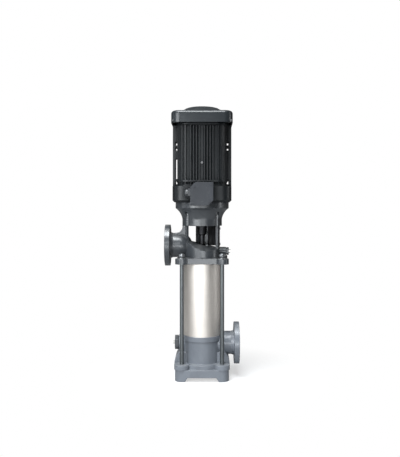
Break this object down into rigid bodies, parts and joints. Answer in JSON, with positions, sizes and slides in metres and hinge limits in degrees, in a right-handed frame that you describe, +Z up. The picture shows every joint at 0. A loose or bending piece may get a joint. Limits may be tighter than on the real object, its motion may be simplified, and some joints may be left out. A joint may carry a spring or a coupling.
{
  "type": "vertical multistage pump",
  "caption": "Vertical multistage pump: flanged suction base, stainless stage sleeve between tie rods, discharge head with stool, coupling and finned motor on top.",
  "frame": {"origin": "on the floor, on the pump shaft's axis, centre of the four foundation bolts", "axes": "+Z up along the shaft, +X towards the suction flange, -Y towards the terminal box"},
  "size_m": [0.3, 0.296, 1.07],
  "materials": {
    "base_paint": "semi-gloss paint on cast iron",
    "head_paint": "semi-gloss paint on cast iron",
    "sleeve_steel": "brushed stainless",
    "rod_steel": "dark steel bar",
    "fastener_steel": "zinc plated",
    "stage_steel": "pressed stainless",
    "shaft_steel": "ground steel",
    "motor_paint": "gloss paint on aluminium",
    "cover_paint": "gloss paint on pressed steel",
    "box_paint": "satin paint",
    "guard_paint": "satin paint on sheet",
    "plug_steel": "painted steel",
    "bleed_steel": "plain steel",
    "seal_rubber": "black rubber",
    "carbon": "carbon graphite",
    "copper": "enamelled copper",
    "lamination": "stacked sheet steel",
    "rotor_aluminium": "cast cage",
    "bearing_steel": "polished",
    "fan_plastic": "moulded",
    "gland_plastic": "moulded",
    "board_plastic": "moulded",
    "stud_brass": "plain brass",
    "coupling_iron": "phosphated"
  },
  "bodies": {
    "casing": {"suction_base": "base_paint", "drain_plug": "plug_steel", "vent_plug": "plug_steel", "plug_washers": "seal_rubber", "outer_sleeve": "sleeve_steel", "sleeve_o_rings": "seal_rubber", "tie_rods": "rod_steel", "tie_rod_washers": "fastener_steel", "tie_rod_nuts": "fastener_steel", "inlet_guide": "stage_steel", "shaft_bush": "carbon", "stack_clamp_ring": "stage_steel", "seal_seat": "carbon", "seal_cover": "stage_steel", "seal_cover_screws": "fastener_steel", "discharge_head": "head_paint", "motor_bolts": "fastener_steel", "coupling_guard": "guard_paint", "guard_screws": "fastener_steel", "drive_end_shield": "motor_paint", "motor_housing": "motor_paint", "rear_shield": "motor_paint", "shield_bolts": "fastener_steel", "stator_core": "lamination", "stator_windings": "copper", "bearing_outer_rings": "bearing_steel", "fan_cover": "cover_paint", "fan_cover_screws": "fastener_steel", "terminal_box": "box_paint", "lid_gasket": "seal_rubber", "terminal_box_lid": "box_paint", "lid_screws": "fastener_steel", "terminal_board": "board_plastic", "terminal_studs": "stud_brass", "cable_gland": "gland_plastic", "gland_nut": "gland_plastic", "stage_bowl_1": "stage_steel", "stage_bowl_2": "stage_steel", "stage_bowl_3": "stage_steel", "stage_bowl_4": "stage_steel", "stage_bowl_5": "stage_steel"},
    "rotor": {"pump_shaft": "shaft_steel", "shaft_spacers": "stage_steel", "impeller_nut": "fastener_steel", "seal_head": "shaft_steel", "coupling_half_front": "coupling_iron", "coupling_half_rear": "coupling_iron", "coupling_screws": "fastener_steel", "motor_shaft": "shaft_steel", "rotor_core": "rotor_aluminium", "bearing_inner_rings": "bearing_steel", "motor_fan": "fan_plastic", "impeller_1": "stage_steel", "impeller_2": "stage_steel", "impeller_3": "stage_steel", "impeller_4": "stage_steel", "impeller_5": "stage_steel"},
    "ball_sets": {"bearing_ball_sets": "bearing_steel"},
    "drain_bleed": {"drain_bleed_screw": "bleed_steel"},
    "vent_bleed": {"vent_screw": "bleed_steel"}
  },
  "joints": [
    {"name": "rotor_spin", "type": "hinge", "parent": "casing", "child": "rotor", "pos_m": [0, 0, 0.4], "axis": [0, 0, 1], "continuous": true},
    {"name": "ball_set_spin", "type": "hinge", "parent": "casing", "child": "ball_sets", "pos_m": [0, 0, 0.72], "axis": [0, 0, 1], "continuous": true},
    {"name": "drain_bleed_turn", "type": "hinge", "parent": "casing", "child": "drain_bleed", "pos_m": [-0.109, 0, 0.13], "axis": [-1, 0, 0], "range_deg": [0, 720]},
    {"name": "vent_turn", "type": "hinge", "parent": "casing", "child": "vent_bleed", "pos_m": [0.107, 0, 0.497], "axis": [1, 0, 0], "range_deg": [0, 720]}
  ],
  "couplings": [
    {"joint": "ball_set_spin", "follows": "rotor_spin", "ratio": 0.4039}
  ]
}
